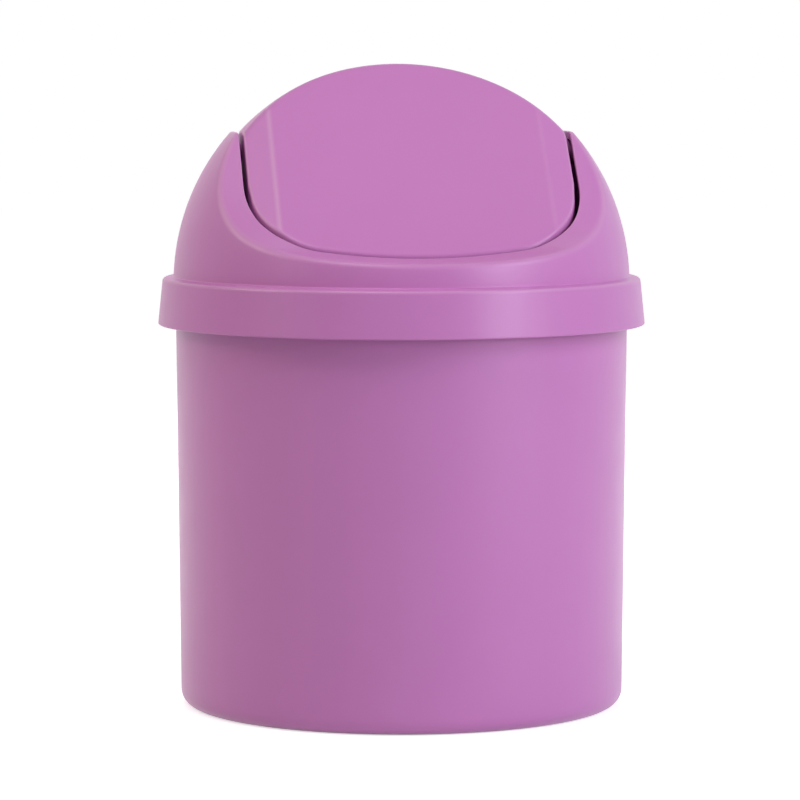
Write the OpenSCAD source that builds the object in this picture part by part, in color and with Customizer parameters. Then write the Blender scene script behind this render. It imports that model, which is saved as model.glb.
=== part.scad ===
// Countertop waste can with a swing lid.
// Three mouldings: a round bucket, a domed hood that drops over its rim, and a hollow
// flap that swings in the hood on two moulded pins. Millimetres, +Z up, front at -Y,
// origin on the surface the can stands on, under the middle of the bucket.

/* [Bucket] */
// Height of the rim above the worktop
bucket_h = 108.2; // [80:0.1:160]
// Outer radius of the wall at the rim
bucket_r = 57.9; // [54:0.1:75]
// How much narrower the wall is at the foot
bucket_draft = 1.1; // [0:0.1:5]
// Thickness of the bucket's wall
bucket_wall = 1.6; // [1:0.1:3]
// Thickness of the bucket's floor
bucket_floor = 2; // [1:0.1:4]
// Radius of the outer bottom corner
bucket_corner_r = 4; // [2.5:0.1:8]
// Height of the foot ring under the floor
foot_h = 1; // [0.4:0.1:3]
// Width of the foot ring's flat face
foot_w = 3; // [1.5:0.1:8]
// How far the rim's lip stands out from the wall
lip_w = 1.4; // [0.8:0.1:3]
// Thickness of the rim's lip
lip_t = 1.8; // [1:0.1:4]

/* [Hood] */
// Thickness of the hood's walls
hood_wall = 1.6; // [1:0.1:2.4]
// Gap between the rim's lip and the skirt around it
rim_gap = 0.25; // [0.1:0.05:1]
// How far the skirt hangs below the rim
skirt_h = 10.2; // [5:0.1:20]
// How much wider the skirt is at its bottom edge
skirt_flare = 1.2; // [0:0.05:3]
// Radius of the skirt's upper outer corner
skirt_corner_r = 0.8; // [0.4:0.1:1.4]
// Width of the ledge between the dome and the skirt
ledge_w = 2.75; // [1.5:0.05:6]
// How much higher the ledge is at the dome than at the skirt
ledge_rise = 0.5; // [0:0.1:1.5]
// Height of the dome's centre above the rim
dome_centre_h = 0.1; // [0:0.1:2]

/* [Mouth] */
// How far the sides of the mouth are in from the dome's radius
mouth_side_in = 15.95; // [14:0.05:17]
// How far the front and back of the mouth are in from the dome's radius
mouth_front_in = 15.95; // [14:0.05:20]
// Corner radius of the mouth, seen from above
mouth_corner_r = 20; // [16:0.5:26]
// Radius of the slight bow of the mouth's front and back edges
mouth_bow_r = 170; // [110:5:400]
// Height of the shelf above the rim where it meets the dome in front of the mouth
shelf_low = 8; // [6:0.1:12]
// Width of the shelf at the cheeks' tips, between the mouth and the dome
cheek_tip_w = 1.2; // [0.8:0.1:2.5]
// Half width of the saddle between shelf and cheek tip, at half its depth
saddle_w = 23.4; // [18:0.1:27]
// Half length of the straight run of the shelf beside the mouth
shelf_straight = 16; // [10:0.5:20]
// Thickness of the shelf around the mouth, measured upright
shelf_t = 2; // [1.2:0.1:3]

/* [Flap] */
// Gap between the flap and the mouth around it
flap_gap = 1.2; // [0.8:0.1:2]
// How far the push face's edge stands above the shelf around it
face_proud = 0.8; // [0:0.1:1]
// How far the flap's dome lies inside the hood's dome
flap_inset = 1.6; // [0.8:0.1:2.4]
// Height of the push face's lower edge above the rim
face_low = 9.4; // [8:0.1:11]
// Angle at which the push face falls towards the front
face_angle = 43; // [41:0.5:45]
// Height of the flap's back lower edge above the rim
back_low = 8.2; // [7:0.1:11]
// Angle at which the flap's back falls away from the push face
back_angle = 57.5; // [55:0.5:60]
// Half width of the push face and the back between their creases
crease_half_w = 34.6; // [30:0.1:37]
// Extra angle of the narrow strips outside the creases
strip_angle = 13; // [8:1:40]
// Thickness of the push face
face_t = 1.96; // [1.2:0.01:3]
// Thickness of the flap's back
back_t = 1.4; // [1:0.1:3]
// Thickness of the flap's crown and sides
flap_wall = 1.4; // [1:0.1:2.4]
// Gap that the flap's edge keeps from the mouth's edge as it swings past
swing_gap = 0.5; // [0.3:0.1:1]

/* [Pivot] */
// How far the pivot lies below the cheeks' tips
pivot_drop = 5.2; // [5:0.1:5.8]
// Radius of each pivot pin
pin_r = 1.8; // [1.2:0.1:2]
// Running gap between a pin and its socket
pin_gap = 0.08; // [0.02:0.01:0.1]
// Gap between the end of a pin and the bottom of its socket
pin_end_gap = 0.5; // [0.3:0.1:0.8]
// Thickness of the socket's wall
socket_wall = 1.6; // [1:0.1:2]
// Thickness left between the bottom of the socket and the dome's outside
socket_skin = 1.2; // [0.8:0.1:1.6]

/* [Hidden] */
$fn = 128;
plastic = [0.76, 0.49, 0.72];
eps = 0.01;

// the bucket's rim and the skirt around it
foot_r = bucket_r - bucket_draft;
lip_r = bucket_r + lip_w;
skirt_top_r = lip_r + rim_gap + hood_wall;
skirt_bottom_r = skirt_top_r + skirt_flare;
skirt_z = bucket_h - skirt_h;
ledge_z = bucket_h + hood_wall;

// the dome
dome_r = skirt_top_r - ledge_w;
dome_z = bucket_h + dome_centre_h;
dome_in_r = dome_r - hood_wall;

// the mouth and the flap in it
mouth_x = dome_r - mouth_side_in;
mouth_y = dome_r - mouth_front_in;
flap_r = dome_r - flap_inset;
flap_x = mouth_x - flap_gap;
flap_y = mouth_y - flap_gap;

// heights above the rim: the cheeks' tips, and where the push face and the back, carried on,
// cross the middle of the can
cheek_h = dome_centre_h + sqrt(pow(dome_r, 2) - pow(mouth_x + cheek_tip_w, 2));
face_h = face_low + flap_y * tan(face_angle);
back_h = back_low + flap_y * tan(back_angle);

// the pivot
pivot_h = cheek_h - pivot_drop;
pivot_z = bucket_h + pivot_h;
bore_r = pin_r + pin_gap;
socket_r = bore_r + socket_wall;
socket_end = sqrt(pow(dome_r, 2) - pow(pivot_z + bore_r - dome_z, 2)) - socket_skin;
pin_end = socket_end - pin_end_gap;

// The mouth seen from above has straight sides, a slight bow at its front and back, and four
// corner arcs that run smoothly into both. This is a corner arc's centre, and where the bow
// starts.
corner_x = mouth_x - mouth_corner_r;
bow_y = mouth_y - mouth_bow_r;
corner_y = bow_y + sqrt(pow(mouth_bow_r - mouth_corner_r, 2) - pow(corner_x, 2));
bow_x = corner_x * mouth_bow_r / (mouth_bow_r - mouth_corner_r);

// how far in front of the middle the mouth's edge is at x
function mouth_edge_y(x) = x < bow_x ? bow_y + sqrt(pow(mouth_bow_r, 2) - pow(x, 2))
    : corner_y + sqrt(pow(mouth_corner_r, 2) - pow(min(x, mouth_x) - corner_x, 2));

// how far a ray runs from (0, y) at angle a from the front before it leaves a circle, and
// before it leaves the mouth
function ray_out(y, a, centre, r) = let (o = [-centre[0], y - centre[1]],
    along = o[0] * sin(a) + o[1] * cos(a)) sqrt(pow(along, 2) - o * o + r * r) - along;
function mouth_ray(y, a) = let (bow = ray_out(y, a, [0, bow_y], mouth_bow_r))
    bow * sin(a) < bow_x ? bow
    : mouth_x * cos(a) < (corner_y - y) * sin(a) ? mouth_x / sin(a)
    : ray_out(y, a, [corner_x, corner_y], mouth_corner_r);

// The shelf around the mouth is a saddle. Where it meets the dome, its height above the rim
// follows a bell curve of y. At the mouth it follows the push face's edge, up to the cheeks'
// tips. Between them it is straight along rays: across beside the mouth, and fanned out from
// the ends of that straight run in front of the mouth and behind it. The mouth's edge bends
// gently, over these blends, where it reaches the tips' height and where the strips begin.
ray_spare = 4;
side_steps = 8;
ray_steps = 18;
tip_blend = 2;
strip_blend = 4;
bell_front = 1 / (1 + pow(dome_r / saddle_w, 2));
bell_base = (shelf_low - cheek_h * bell_front) / (1 - bell_front);
function bell_h(y) = bell_base + (cheek_h - bell_base) / (1 + pow(y / saddle_w, 2));
// the lower of two values, with the corner between them rounded off over blend
function soft_min(a, b, blend) = min(a, b) - pow(max(blend - abs(a - b), 0), 2) / (4 * blend);
function edge_h(x, y) = soft_min(cheek_h, face_h - (y - flap_gap) * tan(face_angle) - face_proud
    + soft_min(0, crease_half_w - x, strip_blend) * tan(strip_angle) / cos(face_angle), tip_blend);

// a station beside the mouth: where its ray passes inside the mouth and outside the dome, and
// how high the shelf is at both
function station(y, a) = let (t_mouth = mouth_ray(y, a), t_dome = ray_out(y, a, [0, 0], dome_r),
    h_mouth = edge_h(t_mouth * sin(a), y + t_mouth * cos(a)), h_dome = bell_h(y + t_dome * cos(a)),
    slope = (h_dome - h_mouth) / (t_dome - t_mouth))
    [for (t = [t_mouth - ray_spare, t_dome + ray_spare])
        [t * sin(a), y + t * cos(a), h_mouth + slope * (t - t_mouth)]];
quarter = concat([for (i = [0 : side_steps]) station(shelf_straight * i / side_steps, 90)],
    [for (i = [1 : ray_steps]) station(shelf_straight, 90 - 90 * i / ray_steps)]);
last = len(quarter) - 1;
function turned(s, sx, sy) = [for (p = s) [sx * p[0], sy * p[1], p[2]]];
ring = concat(
    [for (i = [0 : last]) turned(quarter[i], 1, 1)],
    [for (i = [last - 1 : -1 : 0]) turned(quarter[i], -1, 1)],
    [for (i = [1 : last]) turned(quarter[i], -1, -1)],
    [for (i = [last - 1 : -1 : 1]) turned(quarter[i], 1, -1)]);

// how far the mouth's edge is from the pivot at x
function edge_reach(x) = let (y = mouth_edge_y(x)) norm([y, pivot_h - edge_h(x, y)]);

// a ring-shaped block above the shelf surface, which is first lowered by drop
module above_shelf(drop) {
    n = len(ring);
    shelf = [for (k = [0, 1], s = ring) [s[k][0], s[k][1], bucket_h + s[k][2] - drop]];
    level = [for (k = [0, 1], s = ring) [s[k][0], s[k][1], dome_z + 2 * dome_r]];
    // the four rails around the ring: shelf inside and outside, then level inside and outside
    function strip(from, to) = [for (i = [0 : n - 1]) let (j = (i + 1) % n)
        each [[from + i, to + j, from + j], [from + i, to + i, to + j]]];
    polyhedron(concat(shelf, level), concat(strip(0, n), strip(n, 3 * n), strip(3 * n, 2 * n),
        strip(2 * n, 0)), convexity = 6);
}

// an upright block of the mouth's outline, moved in by inset
module mouth_block(inset, z_low, z_high) {
    translate([0, 0, z_low]) linear_extrude(z_high - z_low) union() {
        square([2 * (mouth_x - inset), 2 * corner_y], center = true);
        for (sx = [-1, 1], sy = [-1, 1])
            translate([sx * corner_x, sy * corner_y]) circle(mouth_corner_r - inset);
        intersection() {
            square([2 * bow_x * (1 - inset / mouth_bow_r), 2 * mouth_y], center = true);
            translate([0, bow_y]) circle(mouth_bow_r - inset, $fn = 720);
            translate([0, -bow_y]) circle(mouth_bow_r - inset, $fn = 720);
        }
    }
}

// a cylinder along X from x0 to x1 at the pivot
module along_pivot(r, x0, x1) {
    translate([x0, 0, pivot_z]) rotate([0, 90, 0]) cylinder(r = r, h = x1 - x0);
}

// everything above a slope that falls towards -Y, with a steeper strip down each side. The
// slope crosses the middle of the can at height h above the rim and is moved in by depth.
module above_slope(h, angle, depth) {
    big = 3 * dome_r;
    translate([0, 0, bucket_h + h]) rotate([angle, 0, 0]) translate([0, 0, -depth]) {
        translate([-big, -big, 0]) cube([2 * big, 2 * big, big]);
        for (s = [-1, 1]) translate([s * crease_half_w, 0, 0]) rotate([0, s * strip_angle, 0])
            translate([-big / 2, -big, 0]) cube([big, 2 * big, big]);
    }
}

// what the flap may fill as it swings past the mouth's edge: a form turned about the pivot
module swing_room() {
    steps = 12;
    half = [for (i = [0 : steps]) let (x = flap_x * sin(90 * i / steps)) [x, edge_reach(x) - swing_gap]];
    outline = concat([for (i = [steps : -1 : 1]) [half[i][1], -half[i][0]]],
        [for (p = half) [p[1], p[0]]], [[0, flap_x], [0, -flap_x]]);
    translate([0, 0, pivot_z]) rotate([0, 90, 0]) rotate_extrude() polygon(outline);
}

// the flap as a solid, moved in by inset at its crown and sides and by depths at its slopes
module flap_form(inset, face_depth, back_depth) {
    difference() {
        intersection() {
            translate([0, 0, dome_z]) sphere(flap_r - inset);
            mouth_block(flap_gap + inset, bucket_h - 2 * inset, dome_z + dome_r);
        }
        above_slope(face_h, face_angle, face_depth);
        rotate([0, 0, 180]) above_slope(back_h, back_angle, back_depth);
    }
}

module bucket() {
    color(plastic) rotate_extrude() difference() {
        union() {
            polygon([[0, 0], [foot_r - bucket_corner_r, 0], [foot_r, bucket_corner_r],
                [bucket_r, bucket_h], [0, bucket_h]]);
            translate([foot_r - bucket_corner_r, bucket_corner_r]) circle(bucket_corner_r);
            polygon([[0, bucket_h - lip_t - lip_w], [bucket_r, bucket_h - lip_t - lip_w],
                [lip_r, bucket_h - lip_t], [lip_r, bucket_h], [0, bucket_h]]);
        }
        // the inside, with the same rounding at the floor
        inside_r = bucket_corner_r - bucket_wall;
        inside_z = foot_h + bucket_floor + inside_r;
        polygon([[-1, foot_h + bucket_floor],
            [foot_r - bucket_corner_r, foot_h + bucket_floor],
            [foot_r - bucket_corner_r, inside_z], [foot_r - bucket_wall, inside_z],
            [bucket_r - bucket_wall, bucket_h + eps], [-1, bucket_h + eps]]);
        translate([foot_r - bucket_corner_r, inside_z]) circle(inside_r);
        // the hollow inside the foot ring
        translate([-1, -eps]) square([foot_r - bucket_corner_r - foot_w + 1, foot_h + eps]);
        translate([-2 * bucket_r, -1]) square([2 * bucket_r, 2 * bucket_h]);
    }
}

// the hood's outside, turned: the dome, the ledge around it and the skirt
module hood_outside() {
    arc_r = skirt_top_r - skirt_corner_r;
    arc_z = ledge_z - skirt_corner_r;
    rotate_extrude() intersection() {
        translate([0, skirt_z]) square([2 * dome_r, 2 * dome_r]);
        union() {
            difference() {
                translate([0, dome_z]) circle(dome_r);
                translate([-1, 0]) square([2 * dome_r, bucket_h]);
            }
            polygon([[0, skirt_z], [skirt_bottom_r, skirt_z], [skirt_top_r, arc_z],
                [arc_r, ledge_z], [dome_r - hood_wall, ledge_z + ledge_rise],
                [0, ledge_z + ledge_rise]]);
            translate([arc_r, arc_z]) circle(skirt_corner_r, $fn = 48);
        }
    }
}

// the hollow inside the dome, turned, and the room for the bucket's rim under it
module dome_hollow() {
    rotate_extrude() intersection() {
        translate([0, dome_z]) circle(dome_in_r);
        translate([0, bucket_h - eps]) square([dome_r, 2 * dome_r]);
    }
}

module rim_room() {
    rotate_extrude() polygon([[0, skirt_z - 1], [skirt_bottom_r - hood_wall, skirt_z - 1],
        [skirt_bottom_r - hood_wall, skirt_z], [skirt_top_r - hood_wall, bucket_h],
        [0, bucket_h]]);
}

module hood() {
    color(plastic) difference() {
        union() {
            difference() {
                hood_outside();
                difference() {
                    dome_hollow();
                    above_shelf(shelf_t);
                }
                rim_room();
                above_shelf(0);
            }
            // the two pivot sockets, grown from the cheeks
            intersection() {
                translate([0, 0, dome_z]) sphere(dome_r - socket_skin / 2);
                for (s = [0, 180]) rotate([0, 0, s])
                    along_pivot(socket_r, mouth_x, mouth_x + mouth_side_in);
            }
        }
        mouth_block(0, bucket_h - 1, dome_z + 2 * dome_r);
        for (s = [0, 180]) rotate([0, 0, s]) along_pivot(bore_r, mouth_x - 1, socket_end);
    }
}

module swing_flap() {
    color(plastic) {
        intersection() {
            difference() {
                flap_form(0, 0, 0);
                flap_form(flap_wall, face_t, back_t);
            }
            swing_room();
        }
        for (s = [0, 180]) rotate([0, 0, s]) along_pivot(pin_r, flap_x - flap_wall / 2, pin_end);
    }
}

bucket();
hood();
swing_flap();
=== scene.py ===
"""Looks of a countertop waste can with a swing lid: bucket, domed hood and push flap.

The solids of the frame are replaced by smooth, round-edged meshes of the same sizes. Sizes
here are in millimetres, +Z up and the push face towards -Y, and a mesh is made in metres.
"""
import math

import bpy
import numpy as np
from mathutils import Euler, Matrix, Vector


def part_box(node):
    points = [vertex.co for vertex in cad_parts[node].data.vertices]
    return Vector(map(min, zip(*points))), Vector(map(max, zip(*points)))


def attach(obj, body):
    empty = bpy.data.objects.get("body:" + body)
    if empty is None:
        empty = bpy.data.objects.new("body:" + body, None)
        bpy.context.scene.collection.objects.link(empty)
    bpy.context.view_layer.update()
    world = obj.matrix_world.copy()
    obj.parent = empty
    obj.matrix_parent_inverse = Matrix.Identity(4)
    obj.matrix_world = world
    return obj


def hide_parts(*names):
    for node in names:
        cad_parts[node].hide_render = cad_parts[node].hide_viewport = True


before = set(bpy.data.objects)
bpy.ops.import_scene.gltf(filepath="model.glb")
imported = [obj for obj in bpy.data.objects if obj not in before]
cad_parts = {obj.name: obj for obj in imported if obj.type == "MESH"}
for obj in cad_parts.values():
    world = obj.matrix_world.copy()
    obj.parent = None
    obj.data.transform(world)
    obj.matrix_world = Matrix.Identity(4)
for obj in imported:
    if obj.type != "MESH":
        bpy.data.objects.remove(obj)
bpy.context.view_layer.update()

MM = 0.001


def box_mm(node):
    """Lowest and highest corner of a node of the frame, in millimetres."""
    return [[c / MM for c in corner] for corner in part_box(node)]


# --- sizes ---------------------------------------------------------------------------------
bucket_high = box_mm("bucket")[1]
hood_low, hood_high = box_mm("hood")
flap_high = box_mm("swing_flap")[1]

RIM_Z = bucket_high[2]
SKIRT_Z = hood_low[2]
SKIRT_R = hood_high[0]
PIN_END = flap_high[0]

BUCKET_WALL = 1.6
BUCKET_FLOOR = 2.0
BUCKET_DRAFT = 1.1
BUCKET_CORNER_R = 4.0
FOOT_H = 1.0
FOOT_W = 3.0
LIP_W = 1.4
LIP_T = 1.8
LIP_R = bucket_high[0]
BUCKET_R = LIP_R - LIP_W
FOOT_R = BUCKET_R - BUCKET_DRAFT
GATE_R = 3.0
GATE_H = 0.35

HOOD_WALL = 1.6
SKIRT_FLARE = 1.2
SKIRT_CORNER_R = 0.8
LEDGE_W = 2.75
LEDGE_RISE = 0.5
SKIRT_TOP_R = SKIRT_R - SKIRT_FLARE
SKIRT_IN_R = SKIRT_R - HOOD_WALL
TOP_IN_R = SKIRT_TOP_R - HOOD_WALL
LEDGE_Z = RIM_Z + HOOD_WALL
DOME_R = SKIRT_TOP_R - LEDGE_W
DOME_CENTRE_H = 0.1
DOME_Z = RIM_Z + DOME_CENTRE_H
DOME_IN_R = DOME_R - HOOD_WALL

MOUTH_INSET = 15.95
MOUTH_X = DOME_R - MOUTH_INSET
MOUTH_Y = DOME_R - MOUTH_INSET
MOUTH_CORNER_R = 20.0
MOUTH_BOW_R = 170.0
SHELF_LOW = 8.0
CHEEK_TIP_W = 1.2
SADDLE_W = 23.4
SHELF_STRAIGHT = 16.0
SHELF_T = 2.0
CHEEK_H = DOME_Z - RIM_Z + math.sqrt(DOME_R ** 2 - (MOUTH_X + CHEEK_TIP_W) ** 2)

FLAP_GAP = 1.2
FACE_PROUD = 0.8
FLAP_BELOW_DOME = 1.6
FLAP_R = DOME_R - FLAP_BELOW_DOME
FLAP_X = MOUTH_X - FLAP_GAP
FLAP_Y = MOUTH_Y - FLAP_GAP
FACE_ANGLE = math.radians(43)
FACE_T = 1.96
FACE_LOW = 9.4
FACE_H = FACE_LOW + FLAP_Y * math.tan(FACE_ANGLE)
BACK_ANGLE = math.radians(57.5)
BACK_T = 1.4
BACK_LOW = 8.2
BACK_H = BACK_LOW + FLAP_Y * math.tan(BACK_ANGLE)
CREASE_X = 34.6
STRIP_ANGLE = math.radians(13)
FLAP_WALL = 1.4
SWING_GAP = 0.5

PIVOT_BELOW_TIP = 5.2
PIVOT_Z = RIM_Z + CHEEK_H - PIVOT_BELOW_TIP
PIN_R = 1.8
PIN_CLEARANCE = 0.08
PIN_END_ROOM = 0.5
PIN_ROOT = 0.6
SOCKET_WALL = 1.6
BORE_R = PIN_R + PIN_CLEARANCE
SOCKET_R = BORE_R + SOCKET_WALL
SOCKET_END = PIN_END + PIN_END_ROOM
SOCKET_IN = 0.6

# the sections of the pins and sockets end this far from their axis
AXIS_R = 0.05

# the camera that fits the photograph, which is 800 pixels wide; its angles are in radians
PHOTO_PX = 800
CAMERA_AWAY = 1100.0
CAMERA_H = 173.0
CAMERA_TURN = math.radians(-7.2)
CAMERA_DOWN = 0.086
FOCAL_PX = 4296
CENTRE_PX = 401.5
SENSOR_MM = 36.0
CLIP_NEAR = 50.0
CLIP_FAR = 20000.0


# --- mesh helpers --------------------------------------------------------------------------
# the outermost points of a rounded corner, in roundings, and the name of the layer that holds the
# painted highlights along edges
CURVE_LEAD = 1.25
PAINTED_HIGHLIGHT_LAYER = "painted_highlight"


def mesh_piece(name, points, faces):
    """A smooth-shaded object from points in millimetres."""
    mesh = bpy.data.meshes.new(name)
    mesh.from_pydata((np.asarray(points) * MM).tolist(), [], faces)
    mesh.validate()
    mesh.shade_smooth()
    piece = bpy.data.objects.new(name, mesh)
    bpy.context.collection.objects.link(piece)
    return piece


def near(points, edge, width):
    """1 at an edge's own points, falling to 0 at a width from them, for rings of points."""
    return np.clip(1 - np.linalg.norm(points - edge, axis=-1) / width, 0, 1)


def mark_painted_highlight(piece, share):
    """Keeps how strong the painted highlight along an edge is at each point of a piece, from 0 to
    1, for its material.
    """
    layer = piece.data.attributes.new(PAINTED_HIGHLIGHT_LAYER, "FLOAT", "POINT")
    layer.data.foreach_set("value", np.asarray(share, dtype=np.float32).ravel())


def ring_faces(first, second):
    """Quads between two closed rings of point numbers."""
    return [(first[i - 1], first[i], second[i], second[i - 1]) for i in range(len(first))]


def ring_stack(rings, closed):
    """Points and quads of a stack of rings, which closes on itself if asked."""
    count = len(rings[0])
    numbers = [list(range(k * count, (k + 1) * count)) for k in range(len(rings))]
    pairs = list(zip(numbers, numbers[1:])) + ([(numbers[-1], numbers[0])] if closed else [])
    faces = [face for pair in pairs for face in ring_faces(*pair)]
    return np.concatenate(rings), faces


def lerp(a, b, t):
    return a + (b - a) * t


def unit(vectors):
    return vectors / np.maximum(np.linalg.norm(vectors, axis=-1, keepdims=True), 1e-9)


def bend(start, corner, end, t):
    """The point at share t of a curve that leaves a start for a corner and bends to an end."""
    return (1 - t) ** 2 * start + 2 * t * (1 - t) * corner + t * t * end


def round_corner(before, corner, after, radius, steps=5):
    """Points of a curve that rounds a corner, with one more just before and just after it."""
    towards = unit(before - corner)
    away = unit(after - corner)
    start = corner + radius * towards
    end = corner + radius * away
    curve = [bend(start, corner, end, t) for t in np.linspace(0, 1, steps)]
    first = corner + CURVE_LEAD * radius * towards
    last = corner + CURVE_LEAD * radius * away
    return [first] + curve + [last]


def rounded_path(corners, steps=5):
    """A closed path of (point, radius), with every corner that has a radius rounded."""
    path = []
    for i, (point, radius) in enumerate(corners):
        if np.any(radius):
            before = corners[i - 1][0]
            after = corners[(i + 1) % len(corners)][0]
            path += round_corner(before, point, after, radius, steps)
        else:
            path.append(point)
    return path


# --- the bucket ----------------------------------------------------------------------------
TURN_STEPS = 288
BUCKET_LINE = 1.2
GATE_SLOPE = 0.25
FOOT_SLOPE = 0.2
GATE_LOW_ROUND, GATE_TOP_ROUND = 0.15, 0.1
FOOT_TOP_ROUND, FOOT_LOW_ROUND = 0.4, 0.35
LIP_ROOT_ROUND, LIP_LOW_ROUND = 0.4, 0.3
RIM_ROUND = 0.5

# the rings of the bucket's wall and flats, and the room that they keep from its corners
WALL_RINGS, UNDER_RINGS, FLOOR_RINGS = 24, 12, 14
CORNER_GAP, LIP_GAP, FOOT_GAP, FLAT_GAP = 4.0, 1.5, 1.5, 1.0
MIDDLE_R = 2.0

FLAT_R = FOOT_R - BUCKET_CORNER_R
FOOT_IN_R = FLAT_R - FOOT_W
FLOOR_Z = FOOT_H + BUCKET_FLOOR
IN_CORNER_R = BUCKET_CORNER_R - BUCKET_WALL
LIP_Z = RIM_Z - LIP_T
WALL_SLOPE = BUCKET_DRAFT / (RIM_Z - BUCKET_CORNER_R)


def turned_piece(name, outline, painted_highlight):
    """A closed outline of (radius, z) turned about the middle. Radius 0 ends it at a pole.

    Each edge with a painted highlight is a (radius, z) of the outline and how strong the
    highlight is, up to 1.
    """
    steps = TURN_STEPS
    angles = np.arange(steps) * 2 * math.pi / steps
    around = np.stack([np.cos(angles), np.sin(angles), 0 * angles], -1)
    rings = [around * r + [0, 0, z] for r, z in outline if r > 0]
    points, faces = ring_stack(rings, closed=False)
    poles = [z for r, z in outline if r == 0]
    points = np.concatenate([points, [[0, 0, z] for z in poles]])
    places = np.array([place for place in outline if place[0] > 0])
    share = np.max([near(places, edge, BUCKET_LINE) * most for edge, most in painted_highlight], axis=0)
    share = np.concatenate([np.repeat(share, steps), np.zeros(len(poles))])
    last = (len(rings) - 1) * steps
    middle = len(rings) * steps
    for i in range(steps):
        faces.append(((i + 1) % steps, i, middle))
        faces.append((last + i, last + (i + 1) % steps, middle + 1))
    piece = mesh_piece(name, points, faces)
    mark_painted_highlight(piece, share)
    return piece


def spot(across, up, rounding=0.0):
    """A corner of a section, with the size of its rounding."""
    return np.array([across, up]), rounding


def quarter(r, z, radius, steps=9):
    """Corners along the quarter circle about (r, z) from its lowest point outwards."""
    turns = np.linspace(0, math.pi / 2, steps)
    return [spot(r + radius * math.sin(t), z - radius * math.cos(t)) for t in turns]


def wall_r(z):
    """The radius of the bucket's outside at a height."""
    return FOOT_R + (z - BUCKET_CORNER_R) * WALL_SLOPE


def bucket_corners():
    """The bucket's section from the gate mark by its outside and its rim to its floor."""
    root_z = LIP_Z - LIP_W
    heights = np.linspace(BUCKET_CORNER_R + CORNER_GAP, root_z - LIP_GAP, WALL_RINGS)
    corners = [spot(GATE_R, FOOT_H - GATE_H, GATE_LOW_ROUND)]
    corners += [spot(GATE_R + GATE_SLOPE, FOOT_H, GATE_TOP_ROUND)]
    corners += [spot(FOOT_IN_R, FOOT_H, FOOT_TOP_ROUND)]
    corners += [spot(FOOT_IN_R + FOOT_SLOPE, 0, FOOT_LOW_ROUND)]
    corners += quarter(FLAT_R, BUCKET_CORNER_R, BUCKET_CORNER_R)
    corners += [spot(wall_r(z), z) for z in heights]
    corners += [spot(BUCKET_R, root_z, LIP_ROOT_ROUND), spot(LIP_R, LIP_Z, LIP_LOW_ROUND)]
    corners += [spot(LIP_R, RIM_Z, RIM_ROUND), spot(BUCKET_R - BUCKET_WALL, RIM_Z, RIM_ROUND)]
    corners += [spot(wall_r(z) - BUCKET_WALL, z) for z in heights[::-1]]
    return corners + quarter(FLAT_R, FLOOR_Z + IN_CORNER_R, IN_CORNER_R)[::-1]


def bucket_outline():
    """The bucket's half section, from the middle of its underside round to its floor's."""
    path = [tuple(point) for point in rounded_path(bucket_corners())]
    gate = [(r, FOOT_H - GATE_H) for r in (0.0, MIDDLE_R / 2, MIDDLE_R)]
    start_r = GATE_R + FLAT_GAP
    underside = [(r, FOOT_H) for r in np.linspace(start_r, FOOT_IN_R - FOOT_GAP, UNDER_RINGS)]
    floor = [(r, FLOOR_Z) for r in np.linspace(FLAT_R - FLAT_GAP, MIDDLE_R, FLOOR_RINGS)]
    floor += [(0.0, FLOOR_Z)]
    split = next(i for i, (r, z) in enumerate(path) if r > start_r)
    return gate + path[:split] + underside + path[split:] + floor


def make_bucket():
    # painted highlights along the rim's two edges, the lip's lower edge and the foot
    painted_highlight = [((LIP_R, RIM_Z), 0.6), ((BUCKET_R - BUCKET_WALL, RIM_Z), 0.5),
              ((LIP_R, LIP_Z), 0.5), ((FLAT_R, 0), 0.6)]
    piece = turned_piece("bucket_body", bucket_outline(), painted_highlight)
    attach(piece, "bucket")
    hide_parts("bucket")
    return piece


# --- the mouth and the shelf around it -----------------------------------------------------
# seen from above: straight sides, a slight bow in front and behind, and four corner arcs
CORNER_X = MOUTH_X - MOUTH_CORNER_R
BOW_Y = MOUTH_Y - MOUTH_BOW_R
CORNER_Y = BOW_Y + math.sqrt((MOUTH_BOW_R - MOUTH_CORNER_R) ** 2 - CORNER_X ** 2)

BELL_FRONT = 1 / (1 + (DOME_R / SADDLE_W) ** 2)
BELL_BASE = (SHELF_LOW - CHEEK_H * BELL_FRONT) / (1 - BELL_FRONT)
TIP_BLEND = 2.0
STRIP_BLEND = 4.0


def root(value):
    return np.sqrt(np.maximum(value, 0))


def bow_end(inset):
    """Where the bow runs into the corner arc, on the mouth's outline moved in by inset."""
    return CORNER_X * (MOUTH_BOW_R - inset) / (MOUTH_BOW_R - MOUTH_CORNER_R)


def outline_y(x, inset=0.0):
    """How far out in Y the mouth's outline is at x, if it is moved in by inset."""
    x = np.minimum(np.abs(x), MOUTH_X - inset)
    bow = BOW_Y + root((MOUTH_BOW_R - inset) ** 2 - x ** 2)
    corner = CORNER_Y + root((MOUTH_CORNER_R - inset) ** 2 - np.maximum(x - CORNER_X, 0) ** 2)
    return np.where(x < bow_end(inset), bow, corner)


def outline_normal(points):
    """Outward direction at points, seen from above, of the outline that passes through them."""
    x, y = np.abs(points).T
    from_bow = np.stack([x, y - BOW_Y], -1)
    from_corner = np.stack([x - CORNER_X, np.maximum(y - CORNER_Y, 0)], -1)
    in_bow = x * (CORNER_Y - BOW_Y) < CORNER_X * (y - BOW_Y)
    return unit(np.where(in_bow[:, None], from_bow, from_corner)) * np.sign(points)


def ray_in_circle(y, turn, centre, r):
    """How far a ray from (0, y) runs before it leaves a circle. Turn 0 looks along Y."""
    ox, oy = -centre[0], y - centre[1]
    along = ox * np.sin(turn) + oy * np.cos(turn)
    return root(along ** 2 - ox * ox - oy * oy + r * r) - along


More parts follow.
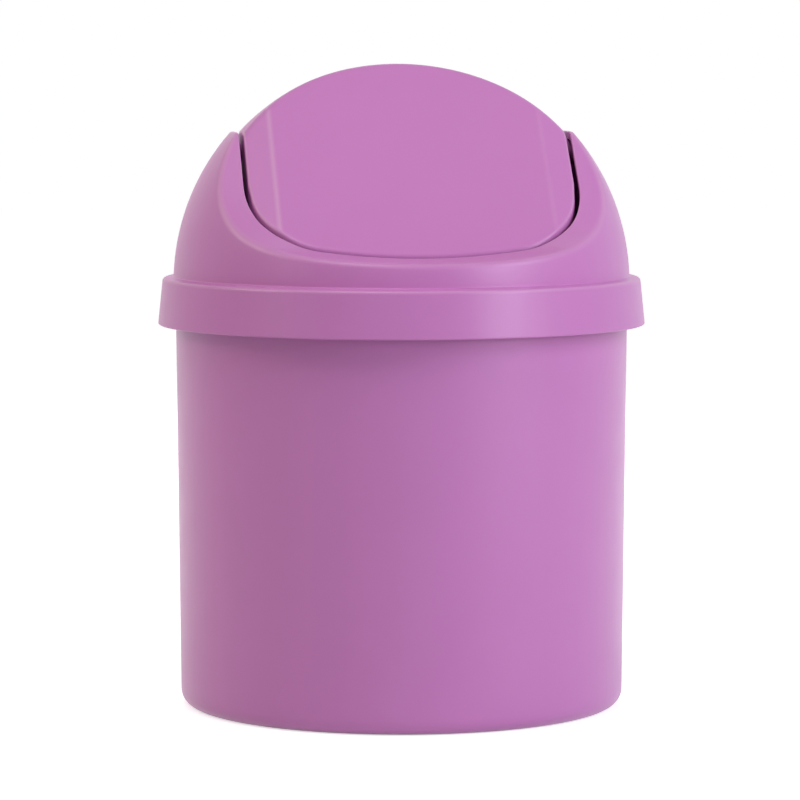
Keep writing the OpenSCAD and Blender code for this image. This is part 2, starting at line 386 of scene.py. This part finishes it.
def ray_in_mouth(y, turn):
    bow = ray_in_circle(y, turn, (0, BOW_Y), MOUTH_BOW_R)
    corner = ray_in_circle(y, turn, (CORNER_X, CORNER_Y), MOUTH_CORNER_R)
    side = MOUTH_X / np.maximum(np.sin(turn), 1e-9)
    on_side = MOUTH_X * np.cos(turn) < (CORNER_Y - y) * np.sin(turn)
    return np.where(bow * np.sin(turn) < bow_end(0), bow, np.where(on_side, side, corner))


def soft_min(a, b, blend):
    """The lower of two heights, rounded where they meet."""
    shared = np.maximum(blend - np.abs(a - b), 0)
    return np.minimum(a, b) - shared * shared / (4 * blend)


def bell_h(y):
    """Height of the shelf above the rim where it meets the dome."""
    return BELL_BASE + (CHEEK_H - BELL_BASE) / (1 + (y / SADDLE_W) ** 2)


def edge_h(x, y):
    """Height above the rim of the mouth's edge, which follows the edge of the push face."""
    strip = soft_min(0, CREASE_X - x, STRIP_BLEND) * math.tan(STRIP_ANGLE) / math.cos(FACE_ANGLE)
    face = FACE_H - (y - FLAP_GAP) * math.tan(FACE_ANGLE) - FACE_PROUD + strip
    return soft_min(CHEEK_H, face, TIP_BLEND)


def shelf_ray(x, y):
    """The shelf's ray through a point: start, turn, and how far out the point is."""
    x, y = np.abs(x), np.abs(y)
    start = np.minimum(y, SHELF_STRAIGHT)
    return start, np.arctan2(x, y - start), np.hypot(x, y - start)


def shelf_z(x, y):
    """Height of the shelf's surface at a point seen from above."""
    start, turn, reach = shelf_ray(x, y)
    t_mouth = ray_in_mouth(start, turn)
    t_dome = ray_in_circle(start, turn, (0, 0), DOME_R)
    h_mouth = edge_h(t_mouth * np.sin(turn), start + t_mouth * np.cos(turn))
    h_dome = bell_h(start + t_dome * np.cos(turn))
    return RIM_Z + h_mouth + (h_dome - h_mouth) * (reach - t_mouth) / (t_dome - t_mouth)


def mouth_points(crease):
    """Where the shelf's rays through the points of the crease reach the mouth's edge."""
    start, turn, _ = shelf_ray(crease[:, 0], crease[:, 1])
    t_mouth = ray_in_mouth(start, turn)
    x, y = t_mouth * np.sin(turn), start + t_mouth * np.cos(turn)
    return np.stack([np.copysign(x, crease[:, 0]), np.copysign(y, crease[:, 1]),
                     RIM_Z + edge_h(x, y)], -1)


# --- the hood ------------------------------------------------------------------------------
# the hood's steps around: turn 0 looks to the front
HOOD_STEPS = 480
HOOD_TURN = np.arange(HOOD_STEPS) * 2 * math.pi / HOOD_STEPS

# the crease is found in rounds, from a first guess at its rise
FIRST_RISE = 0.3
RISE_ROUNDS = 60

# the dome's rings, and the room that they keep from its ends: along it, and as a rise
DOME_RINGS, DOME_IN_RINGS = 22, 16
RING_ROOM = 1.0
SEAT_RISE = 0.01

# roundings; the two at the shelf are at most a share of its width, and the dome's rings stay
# CREASE_ROOM roundings below the crease
CREASE_ROUND, CREASE_SHARE, CREASE_ROOM = 1.6, 0.35, 1.6
MOUTH_ROUND, MOUTH_SHARE = 0.5, 0.3
GROOVE_ROUND = 0.35
SKIRT_OUT_ROUND, SKIRT_IN_ROUND = 0.4, 0.3
SEAT_ROUND = 0.2
IN_CREASE_ROUND = 0.1
HOOD_ROUND_STEPS = 7

SOCKET_STEPS = 64
BORE_ROUND, BORE_END_ROUND, SOCKET_ROUND = 0.25, 0.2, 0.3

# widths of the painted highlight lines along edges, and how strong they are: the crease's painted
# highlight fades towards the front
CREASE_LINE = 1.5
LEDGE_LINE = 1.0
MOUTH_LINE = 0.7
LINE_SHARE = 0.6
CREASE_FAINT = 0.4
CREASE_CLEAR = 0.9
CREASE_FADE = 25.0


def on_sphere(radius, rise):
    """A ring of points on a sphere about the dome's centre, at a rise for each step around."""
    flat = radius * np.cos(rise)
    high = np.broadcast_to(DOME_Z + radius * np.sin(rise), HOOD_TURN.shape)
    return np.stack([flat * np.sin(HOOD_TURN), -flat * np.cos(HOOD_TURN), high], -1)


def level_ring(radius, z):
    high = np.full_like(HOOD_TURN, z)
    return np.stack([radius * np.sin(HOOD_TURN), -radius * np.cos(HOOD_TURN), high], -1)


def crease_rise(radius, drop):
    """The angle above the dome's centre at which a sphere meets the shelf, lowered by drop."""
    rise = np.full_like(HOOD_TURN, FIRST_RISE)
    for _ in range(RISE_ROUNDS):
        at = on_sphere(radius, rise)
        height = (shelf_z(at[:, 0], at[:, 1]) - drop - DOME_Z) / radius
        rise = 0.5 * rise + 0.5 * np.arcsin(np.clip(height, -1, 1))
    return rise


def dome_rings(radius, first, last, steps):
    """Rings on a sphere between two rises."""
    return [(on_sphere(radius, lerp(first, last, t)), 0) for t in np.linspace(0, 1, steps)]


def cone_rings(start, end, shares):
    """Rings at shares of the way from one (radius, z) to another."""
    return [(level_ring(*lerp(np.array(start), np.array(end), t)), 0) for t in shares]


def outside_rings(rise, crease_round):
    """The skirt, its ledge and the dome, from the skirt's lower edge up to the crease."""
    start_rise = math.asin((LEDGE_Z + LEDGE_RISE - DOME_Z) / DOME_R)
    foot, top = (SKIRT_R, SKIRT_Z), (SKIRT_TOP_R, LEDGE_Z)
    rings = [(level_ring(SKIRT_IN_R, SKIRT_Z), SKIRT_IN_ROUND)]
    rings += [(level_ring(*foot), SKIRT_OUT_ROUND)]
    rings += cone_rings(foot, top, (0.2, 0.4, 0.6, 0.8))
    rings += [(level_ring(*top), SKIRT_CORNER_R), (on_sphere(DOME_R, start_rise), GROOVE_ROUND)]
    first = start_rise + RING_ROOM / DOME_R
    last = rise - CREASE_ROOM * crease_round[:, 0] / DOME_R
    return rings + dome_rings(DOME_R, first, last, DOME_RINGS)


def inside_rings(in_rise):
    """The dome's inside and the skirt's, from the shelf down."""
    start_rise = math.asin((RIM_Z - DOME_Z) / DOME_IN_R)
    first = in_rise - RING_ROOM / DOME_R
    rings = dome_rings(DOME_IN_R, first, start_rise + SEAT_RISE, DOME_IN_RINGS)
    rings += [(level_ring(radius, RIM_Z), SEAT_ROUND) for radius in (DOME_IN_R, TOP_IN_R)]
    return rings + cone_rings((TOP_IN_R, RIM_Z), (SKIRT_IN_R, SKIRT_Z), (0.25, 0.5, 0.75))


def hood_rings():
    """The hood's rings from the skirt's lower edge round to it, and how much painted highlight
    they get along the crease, the ledge and the mouth.
    """
    rise = crease_rise(DOME_R, 0)
    crease = on_sphere(DOME_R, rise)
    edge = mouth_points(crease)
    shelf_w = np.linalg.norm(edge - crease, axis=-1, keepdims=True)
    crease_round = np.minimum(CREASE_ROUND, CREASE_SHARE * shelf_w)
    mouth_round = np.minimum(MOUTH_ROUND, MOUTH_SHARE * shelf_w)
    edge_low = edge - [0, 0, SHELF_T]
    in_rise = crease_rise(DOME_IN_R, SHELF_T)
    in_crease = on_sphere(DOME_IN_R, in_rise)
    corners = outside_rings(rise, crease_round)
    corners += [(crease, crease_round), (lerp(crease, edge, 0.5), 0)]
    corners += [(edge, mouth_round), (edge_low, mouth_round)]
    corners += [(lerp(edge_low, in_crease, 0.5), 0), (in_crease, IN_CREASE_ROUND)]
    corners += inside_rings(in_rise)
    rings = rounded_path(corners, HOOD_ROUND_STEPS)
    # painted highlights along the crease, the ledge and the mouth's edge; the crease's is fainter
    # low down at the front
    up_crease = CREASE_FAINT + (crease[:, 2] - RIM_Z - SHELF_LOW) / CREASE_FADE
    edges = ((crease, CREASE_LINE, np.clip(up_crease, 0, CREASE_CLEAR)),
             (level_ring(SKIRT_TOP_R, LEDGE_Z), LEDGE_LINE, LINE_SHARE),
             (edge, MOUTH_LINE, LINE_SHARE))
    share = [np.max([near(points, at, width) * most for at, width, most in edges], axis=0)
             for points in rings]
    return rings, share


def make_hood():
    rings, share = hood_rings()
    points, faces = ring_stack(rings, closed=True)
    piece = mesh_piece("hood_shell", points, faces)
    mark_painted_highlight(piece, share)
    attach(piece, "hood")
    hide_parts("hood")
    return piece


def sideways_turned(name, outline, side, steps):
    """An outline of (x, radius) turned about the pivot, on the +X or the -X side."""
    angles = np.arange(steps) * 2 * math.pi / steps
    rings = []
    for x, r in outline:
        y, z = r * np.cos(angles), side * r * np.sin(angles)
        within_dome = root((DOME_R - SOCKET_IN) ** 2 - y * y - (PIVOT_Z + z - DOME_Z) ** 2)
        rings.append(np.stack([side * np.minimum(x, within_dome), y, PIVOT_Z + z], -1))
    points, faces = ring_stack(rings, closed=True)
    return mesh_piece(name, points, faces)


def make_socket(side, name):
    """A blind socket inside a cheek, for one of the flap's pins. It runs into the dome's wall."""
    corners = [spot(MOUTH_X, BORE_R, BORE_ROUND), spot(MOUTH_X, SOCKET_R, SOCKET_ROUND)]
    corners += [spot(DOME_R, r) for r in (SOCKET_R, SOCKET_R / 2, AXIS_R)]
    corners += [spot(SOCKET_END, AXIS_R), spot(SOCKET_END, BORE_R, BORE_END_ROUND)]
    piece = sideways_turned(name, rounded_path(corners), side, SOCKET_STEPS)
    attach(piece, "hood")
    return piece


# --- the flap ------------------------------------------------------------------------------
PIN_STEPS = 48
PIN_FILLET = 0.5
PIN_ROOT_ROUND, PIN_FILLET_ROUND, PIN_END_ROUND = 0.1, 0.2, 0.5

EDGE_ROUND = 0.65
FOOT_ROUND = 0.3
CORNER_ROOM = [0, 0, 0.45]
LEAST_WALL = 0.6
CROWN_BLEND = 1.1
CREASE_BLEND = 0.25
THICKNESS = {"inset": FLAP_WALL, "face_depth": FACE_T, "back_depth": BACK_T}

# steps of the flap's grid between its stops, which lie this near to each crease and to the
# crown's two edges, or a share of the crown from them where it is narrow
COLUMN_COUNTS = [8, 8, 36, 36, 8, 8]
ROW_COUNTS = [36, 10, 6, 10, 24]
CREASE_NEAR = 1.0
CROWN_NEAR = 1.5
CROWN_SHARE = 0.45
LEAST_CROWN = 0.4
SIDE_ROOM = 1.0

# where the crown's edges are looked for
MEET_FROM, MEET_TO = -30.0, 34.0
HALVINGS = 40

# painted highlight lines: the painted highlight is stronger on the left crease than on the right
# one, and on the edge it shows only high up
FLAP_LINE = 0.9
LEFT_CREASE, RIGHT_CREASE = 0.9, 0.3
HIGHLIGHT_LOW_Z = RIM_Z + 12.0
HIGHLIGHT_RISE = 12.0
HIGHLIGHT_AT, HIGHLIGHT_REACH = 0.35, 0.4
EDGE_TURNS = np.linspace(0, 1, 7)[1:]


def slope_z(x, y, height, angle, depth):
    """A slope that falls towards -Y with its two side strips, moved in by depth."""
    middle = RIM_Z + height + y * math.tan(angle) - depth / math.cos(angle)
    drop = math.tan(STRIP_ANGLE) / math.cos(angle)
    in_step = depth * (1 / math.cos(STRIP_ANGLE) - 1) / math.tan(STRIP_ANGLE)
    strip = middle - (np.abs(x) - CREASE_X + in_step) * drop
    return soft_min(middle, strip, CREASE_BLEND)


def crown_z(x, y, inset):
    return DOME_Z + np.sqrt(np.maximum((FLAP_R - inset) ** 2 - x * x - y * y, 0))


def flap_z(x, y, inset=0.0, face_depth=0.0, back_depth=0.0):
    """Height of the flap's surface at a point seen from above."""
    face = slope_z(x, y, FACE_H, FACE_ANGLE, face_depth)
    back = slope_z(x, -y, BACK_H, BACK_ANGLE, back_depth)
    return soft_min(soft_min(face, crown_z(x, y, inset), CROWN_BLEND), back, CROWN_BLEND)


def meet_y(x, slope, sign):
    """Where a slope meets the crown at each x, found by halving."""
    low, high = np.full_like(x, MEET_FROM), np.full_like(x, MEET_TO)
    for _ in range(HALVINGS):
        middle = (low + high) / 2
        below = (slope(x, middle) < crown_z(x, middle, 0)) == (sign > 0)
        low = np.where(below, middle, low)
        high = np.where(below, high, middle)
    return low


def crowded(stops, counts):
    """Evenly spaced values between each pair of stops."""
    spans = zip(stops, stops[1:], counts)
    parts = [np.linspace(a, b, count, endpoint=False) for a, b, count in spans]
    return np.concatenate(parts + [[stops[-1]]])


def flap_columns(half_x):
    """X of the grid's columns, crowded at the two creases."""
    before, after = CREASE_X - CREASE_NEAR, CREASE_X + CREASE_NEAR
    return crowded([-half_x, -after, -before, 0, before, after, half_x], COLUMN_COUNTS)


def flap_grid(outline_in, **depths):
    """Columns of points on the flap's surface, inside the mouth's outline moved in."""
    x = flap_columns(MOUTH_X - outline_in)
    side_y = outline_y(x, outline_in)
    face_y = meet_y(x, lambda a, b: slope_z(a, b, FACE_H, FACE_ANGLE, 0), 1)
    back_y = meet_y(x, lambda a, b: slope_z(a, -b, BACK_H, BACK_ANGLE, 0), -1)
    crown_end = np.maximum(back_y, face_y + LEAST_CROWN)
    face_y = np.minimum(face_y, back_y - LEAST_CROWN)
    back_y = np.minimum(crown_end, side_y - SIDE_ROOM)
    margin = np.minimum(CROWN_NEAR, (back_y - face_y) * CROWN_SHARE)
    columns = []
    for k in range(len(x)):
        back_in = back_y[k] - margin[k]
        back_out = min(back_y[k] + CROWN_NEAR, (back_in + side_y[k]) / 2)
        stops = [-side_y[k], face_y[k] - CROWN_NEAR, face_y[k] + margin[k],
                 back_in, back_out, side_y[k]]
        columns.append(crowded(stops, ROW_COUNTS))
    y = np.array(columns)
    grid_x = np.broadcast_to(x[:, None], y.shape)
    return np.stack([grid_x, y, flap_z(grid_x, y, **depths)], -1)


def grid_faces(columns, rows, first, flip):
    faces = []
    for i in range(columns - 1):
        for j in range(rows - 1):
            a = first + i * rows + j
            quad = (a, a + rows, a + rows + 1, a + 1)
            faces.append(quad[::-1] if flip else quad)
    return faces


def grid_border(columns, rows, first):
    """Point numbers around the edge of a grid, anticlockwise from above."""
    front = [first + i * rows for i in range(columns)]
    right = [first + (columns - 1) * rows + j for j in range(1, rows)]
    back = [first + i * rows + rows - 1 for i in range(columns - 2, -1, -1)]
    left = [first + j for j in range(rows - 2, 0, -1)]
    return front + right + back + left


def swing_room_z(x, y):
    """The lowest height at which the flap's edge clears the mouth's edge as it swings."""
    edge_y = outline_y(x)
    reach = np.hypot(edge_y, PIVOT_Z - RIM_Z - edge_h(np.abs(x), edge_y)) - SWING_GAP
    return PIVOT_Z - root(reach ** 2 - y ** 2)


def at_height(flat, z):
    return np.concatenate([flat, z[:, None]], -1)


def shoulder(border, **depths):
    """Rings that turn from the border of a surface into the upright wall around it."""
    flat = border[:, :2]
    wall = flat + outline_normal(flat) * EDGE_ROUND
    start = at_height(flat, flap_z(*flat.T, **depths))
    corner = at_height(wall, flap_z(*wall.T, **depths))
    end = corner - [0, 0, EDGE_ROUND]
    return [bend(start, corner, end, t) for t in EDGE_TURNS]


def foot_ring(top):
    """The ring at the foot of the flap's wall, straight below the ring at its top."""
    z = swing_room_z(top[:, 0], top[:, 1])
    return at_height(top[:, :2], np.minimum(z, top[:, 2] - LEAST_WALL))


def flap_wall(outer_border, inner_border):
    """Rings of the wall, from the border of the outer surface round to the inner one's."""
    outside = shoulder(outer_border)
    inside = shoulder(inner_border, **THICKNESS)
    top, inner_top = outside[-1], inside[-1]
    low, inner_low = foot_ring(top), foot_ring(inner_top)
    down = [lerp(top, low + CORNER_ROOM, t) for t in (0.35, 0.7, 1.0)]
    edge = round_corner(top, low, inner_low, FOOT_ROUND, 4)[1:-1]
    edge += round_corner(low, inner_low, inner_top, FOOT_ROUND, 4)[1:-1]
    up = [lerp(inner_low + CORNER_ROOM, inner_top, t) for t in (0, 0.3, 0.65)]
    return outside + down + edge + up + inside[::-1]


def flap_painted_highlight(outer, border, plain):
    """How much painted highlight the flap's points get: the outer surface, the wall, then the
    plain points.
    """
    x, y, z = np.moveaxis(outer, -1, 0)
    at_crease = np.clip(1 - np.abs(np.abs(x) - CREASE_X) / FLAP_LINE, 0, 1)
    below_crown = np.clip(crown_z(x, y, 0) - z, 0, 1)
    strength = np.where(x < 0, LEFT_CREASE, RIGHT_CREASE)
    up_edge = np.clip((border[:, 2] - HIGHLIGHT_LOW_Z) / HIGHLIGHT_RISE, 0, 1)
    at_edge = [np.clip(1 - abs(t - HIGHLIGHT_AT) / HIGHLIGHT_REACH, 0, 1) * up_edge for t in EDGE_TURNS]
    return [(at_crease * below_crown * strength).ravel(), np.zeros(x.size), np.ravel(at_edge),
            np.zeros(plain)]


def flap_mesh():
    """The hollow flap: an outer and an inner grid, joined around their edges by its wall."""
    outer = flap_grid(FLAP_GAP + EDGE_ROUND)
    inner = flap_grid(FLAP_GAP + FLAP_WALL + EDGE_ROUND, **THICKNESS)
    columns, rows = outer.shape[:2]
    count = columns * rows
    grids = np.concatenate([outer.reshape(-1, 3), inner.reshape(-1, 3)])
    outer_border = grid_border(columns, rows, 0)
    inner_border = grid_border(columns, rows, count)
    wall = flap_wall(grids[outer_border], grids[inner_border])
    around = len(outer_border)
    starts = [2 * count + k * around for k in range(len(wall))]
    loops = [outer_border] + [list(range(a, a + around)) for a in starts] + [inner_border]
    faces = grid_faces(columns, rows, 0, False) + grid_faces(columns, rows, count, True)
    for upper, lower in zip(loops, loops[1:]):
        faces += ring_faces(lower, upper)
    plain = around * (len(wall) - len(EDGE_TURNS))
    share = flap_painted_highlight(outer, grids[outer_border], plain)
    return np.concatenate([grids] + wall), faces, np.concatenate(share)


def make_flap():
    points, faces, share = flap_mesh()
    piece = mesh_piece("push_flap", points, faces)
    mark_painted_highlight(piece, share)
    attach(piece, "flap")
    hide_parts("swing_flap")
    return piece


def make_pin(side, name):
    """A pivot pin moulded on the flap's side, with a rounded end and a fillet at its root."""
    start, root_r = FLAP_X - FLAP_WALL / 2, PIN_R + PIN_ROOT
    corners = [spot(start, AXIS_R), spot(start, root_r), spot(FLAP_X, root_r, PIN_ROOT_ROUND)]
    corners += [spot(FLAP_X + PIN_FILLET, PIN_R, PIN_FILLET_ROUND)]
    corners += [spot(PIN_END, PIN_R, PIN_END_ROUND), spot(PIN_END, AXIS_R)]
    piece = sideways_turned(name, rounded_path(corners), side, PIN_STEPS)
    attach(piece, "flap")
    return piece


# --- materials -----------------------------------------------------------------------------
def srgb(r, g, b):
    """A linear colour from 8-bit sRGB values."""
    def one(v):
        v /= 255
        return v / 12.92 if v <= 0.04045 else ((v + 0.055) / 1.055) ** 2.4
    return one(r), one(g), one(b), 1.0


PLASTIC_IOR = 1.49
PLASTIC_SPECULAR = 0.42
LEAST_ROUGH, MOST_ROUGH = 0.3, 0.4
MOTTLE_PALER = 1.06
# how much paler the painted highlights along edges make the colour
HIGHLIGHT_PALER = (0.08, 0.11, 0.05)

# noises as (scale, detail), and reliefs as (strength, distance in metres)
MOTTLE_NOISE = (38, 3)
GLOSS_NOISE = (120, 4)
GRAIN_NOISE, GRAIN_RELIEF = (2600, 2), (0.12, 0.00004)
WAVE_NOISE, WAVE_RELIEF = (60, 1), (0.1, 0.0003)


def noise(tree, place, scale, detail):
    node = tree.nodes.new("ShaderNodeTexNoise")
    node.inputs["Scale"].default_value = scale
    node.inputs["Detail"].default_value = detail
    tree.links.new(place, node.inputs["Vector"])
    return node.outputs["Fac"]


def colour_mix(tree, factor, paler):
    """A mix towards a paler colour. Its input A is left for the plain one."""
    node = tree.nodes.new("ShaderNodeMix")
    node.data_type = "RGBA"
    node.inputs["B"].default_value = paler + [1]
    tree.links.new(factor, node.inputs["Factor"])
    return node


def relief(tree, height, strength, distance):
    node = tree.nodes.new("ShaderNodeBump")
    node.inputs["Strength"].default_value = strength
    node.inputs["Distance"].default_value = distance
    tree.links.new(height, node.inputs["Height"])
    return node


def plastic_colour(tree, place, colour):
    """A cloudy mottle a few centimetres wide, then painted highlights that make the edges paler.
    """
    cloudy = [min(1, c * MOTTLE_PALER) for c in colour[:3]]
    mottle = colour_mix(tree, noise(tree, place, *MOTTLE_NOISE), cloudy)
    mottle.inputs["A"].default_value = colour
    # the painted highlights along edges, read from the points' layer
    painted_highlight = tree.nodes.new("ShaderNodeAttribute")
    painted_highlight.attribute_name = PAINTED_HIGHLIGHT_LAYER
    pale = [c + more for c, more in zip(colour, HIGHLIGHT_PALER)]
    highlighted = colour_mix(tree, painted_highlight.outputs["Fac"], pale)
    tree.links.new(mottle.outputs["Result"], highlighted.inputs["A"])
    return highlighted.outputs["Result"]


def plastic_roughness(tree, place):
    """Satin, a little uneven."""
    rough = tree.nodes.new("ShaderNodeMapRange")
    rough.inputs["To Min"].default_value = LEAST_ROUGH
    rough.inputs["To Max"].default_value = MOST_ROUGH
    tree.links.new(noise(tree, place, *GLOSS_NOISE), rough.inputs["Value"])
    return rough.outputs["Result"]


def plastic_relief(tree, place):
    """A fine grain and a very shallow waviness."""
    grain = relief(tree, noise(tree, place, *GRAIN_NOISE), *GRAIN_RELIEF)
    wave = relief(tree, noise(tree, place, *WAVE_NOISE), *WAVE_RELIEF)
    tree.links.new(grain.outputs["Normal"], wave.inputs["Normal"])
    return wave.outputs["Normal"]


def new_material(name):
    """A material, its node tree and its shader."""
    material = bpy.data.materials.new(name)
    material.use_nodes = True
    return material, material.node_tree, material.node_tree.nodes["Principled BSDF"]


def plastic(name, colour):
    """Satin moulded plastic: a faint mottle, a fine moulded grain and painted highlights that
    make the edges slightly paler.
    """
    material, tree, shader = new_material(name)
    shader.inputs["IOR"].default_value = PLASTIC_IOR
    shader.inputs["Specular IOR Level"].default_value = PLASTIC_SPECULAR
    place = tree.nodes.new("ShaderNodeTexCoord").outputs["Object"]
    tree.links.new(plastic_colour(tree, place, colour), shader.inputs["Base Color"])
    tree.links.new(plastic_roughness(tree, place), shader.inputs["Roughness"])
    tree.links.new(plastic_relief(tree, place), shader.inputs["Normal"])
    return material


def dress(piece, material):
    piece.data.materials.clear()
    piece.data.materials.append(material)


# --- stage, lights and camera --------------------------------------------------------------
FLOOR_HALF = 3000.0
FLOOR_GREY = 0.8
FLOOR_ROUGH = 0.8

# the floor's glow grows with the distance from the can, so that its shadow shows beside it
FLOOR_GLOW = 0.66
WHITE_GLOW = 1.0
SHADOW_R = 90.0
WHITE_R = 560.0

# where the lamps stand, their sizes and their colours
LAMP_AWAY = 900.0
LAMP_AIM_Z = 90.0
BROAD = (420.0, 420.0)
RIGHT_WINDOW = (300.0, 220.0)
LEFT_WINDOW = (200.0, 220.0)
NEUTRAL = (1.0, 1.0, 1.0)
WARM = (1.1, 1.0, 0.87)
COOL = (0.96, 1.0, 1.08)


def seen_directly(tree):
    """1 on camera, glossy and transmission rays, and 0 on the rays that light things."""
    paths = tree.nodes.new("ShaderNodeLightPath")
    value = paths.outputs["Is Camera Ray"]
    for name in ("Is Glossy Ray", "Is Transmission Ray"):
        either = tree.nodes.new("ShaderNodeMath")
        either.operation = "MAXIMUM"
        tree.links.new(value, either.inputs[0])
        tree.links.new(paths.outputs[name], either.inputs[1])
        value = either.outputs["Value"]
    return value


def floor_glow(tree):
    """A glow that shows only when seen directly, weaker by the can and white far from it."""
    place = tree.nodes.new("ShaderNodeTexCoord")
    away = tree.nodes.new("ShaderNodeVectorMath")
    away.operation = "LENGTH"
    tree.links.new(place.outputs["Object"], away.inputs[0])
    pale = tree.nodes.new("ShaderNodeMapRange")
    pale.inputs["From Min"].default_value = SHADOW_R * MM
    pale.inputs["From Max"].default_value = WHITE_R * MM
    pale.inputs["To Min"].default_value = FLOOR_GLOW
    pale.inputs["To Max"].default_value = WHITE_GLOW
    tree.links.new(away.outputs["Value"], pale.inputs["Value"])
    share = tree.nodes.new("ShaderNodeMath")
    share.operation = "MULTIPLY"
    tree.links.new(seen_directly(tree), share.inputs[0])
    tree.links.new(pale.outputs["Result"], share.inputs[1])
    glow = tree.nodes.new("ShaderNodeEmission")
    tree.links.new(share.outputs["Value"], glow.inputs["Strength"])
    return glow.outputs["Emission"]


def floor_material():
    """A pale floor that looks white where no shadow falls, without lighting the can more."""
    material, tree, shader = new_material("pale_floor")
    shader.inputs["Base Color"].default_value = (FLOOR_GREY, FLOOR_GREY, FLOOR_GREY, 1)
    shader.inputs["Roughness"].default_value = FLOOR_ROUGH
    shader.inputs["Specular IOR Level"].default_value = 0.0
    both = tree.nodes.new("ShaderNodeAddShader")
    tree.links.new(shader.outputs["BSDF"], both.inputs[0])
    tree.links.new(floor_glow(tree), both.inputs[1])
    tree.links.new(both.outputs["Shader"], tree.nodes["Material Output"].inputs["Surface"])
    return material


def make_floor():
    h = FLOOR_HALF
    floor = mesh_piece("floor", [(-h, -h, 0), (h, -h, 0), (h, h, 0), (-h, h, 0)], [(0, 1, 2, 3)])
    dress(floor, floor_material())


def make_backdrop():
    """A world that is white where it is seen directly, and gives no light."""
    world = bpy.data.worlds.new("studio")
    bpy.context.scene.world = world
    world.use_nodes = True
    tree = world.node_tree
    unlit = tree.nodes["Background"]
    unlit.inputs["Strength"].default_value = 0.0
    white = tree.nodes.new("ShaderNodeBackground")
    white.inputs["Color"].default_value = (1, 1, 1, 1)
    mix = tree.nodes.new("ShaderNodeMixShader")
    tree.links.new(seen_directly(tree), mix.inputs["Fac"])
    tree.links.new(unlit.outputs["Background"], mix.inputs[1])
    tree.links.new(white.outputs["Background"], mix.inputs[2])
    tree.links.new(mix.outputs["Shader"], tree.nodes["World Output"].inputs["Surface"])


def softbox(name, turn, rise, size, watts, colour):
    """A soft lamp aimed at the can. Turn is in degrees from the camera's own heading."""
    turn = math.radians(turn) + CAMERA_TURN
    rise = math.radians(rise)
    aim = Vector((0, 0, LAMP_AIM_Z))
    flat = math.cos(rise)
    towards = Vector((math.sin(turn) * flat, -math.cos(turn) * flat, math.sin(rise)))
    data = bpy.data.lights.new(name, "AREA")
    data.shape = "RECTANGLE"
    data.size, data.size_y = (side * MM for side in size)
    data.energy = watts
    data.color = colour
    light = bpy.data.objects.new(name, data)
    light.location = (aim + LAMP_AWAY * towards) * MM
    light.rotation_euler = (-towards).to_track_quat("-Z", "Y").to_euler()
    bpy.context.collection.objects.link(light)
    return light


def make_lights():
    """Broad lamps all round, and two small ones that leave a pale band on the plastic."""
    softbox("key", 60, 35, BROAD, 3.1, COOL)
    softbox("left_fill", -80, 35, BROAD, 2.1, WARM)
    softbox("top", -30, 65, BROAD, 2.4, NEUTRAL)
    softbox("low_right", 60, 8, BROAD, 0.6, COOL)
    softbox("right_window", 48, 12, RIGHT_WINDOW, 1.6, COOL)
    softbox("left_window", -58, 12, LEFT_WINDOW, 0.25, WARM)
    rear = softbox("rear", 180, 22, BROAD, 3.0, NEUTRAL)
    rear.visible_glossy = False


def make_camera():
    """The camera that fits the photograph."""
    data = bpy.data.cameras.new("camera")
    data.sensor_width = SENSOR_MM
    data.lens = FOCAL_PX / PHOTO_PX * SENSOR_MM
    data.shift_x = -(CENTRE_PX - PHOTO_PX / 2) / PHOTO_PX
    data.clip_start, data.clip_end = CLIP_NEAR * MM, CLIP_FAR * MM
    camera = bpy.data.objects.new("camera", data)
    away = CAMERA_AWAY * MM
    camera.location = (away * math.sin(CAMERA_TURN), -away * math.cos(CAMERA_TURN), CAMERA_H * MM)
    camera.rotation_euler = Euler((math.pi / 2 - CAMERA_DOWN, 0, CAMERA_TURN))
    bpy.context.collection.objects.link(camera)
    bpy.context.scene.camera = camera


# --- the whole -----------------------------------------------------------------------------
ORCHID = srgb(198, 123, 187)
bucket_plastic = plastic("orchid_plastic_bucket", ORCHID)
hood_plastic = plastic("orchid_plastic_hood", ORCHID)
flap_plastic = plastic("orchid_plastic_flap", ORCHID)

dress(make_bucket(), bucket_plastic)
dress(make_hood(), hood_plastic)
dress(make_flap(), flap_plastic)
for side_sign, side_name in ((1, "right"), (-1, "left")):
    dress(make_socket(side_sign, f"pivot_socket_{side_name}"), hood_plastic)
    dress(make_pin(side_sign, f"pivot_pin_{side_name}"), flap_plastic)

make_floor()
make_backdrop()
make_lights()
make_camera()
bpy.context.scene.view_settings.view_transform = "Standard"
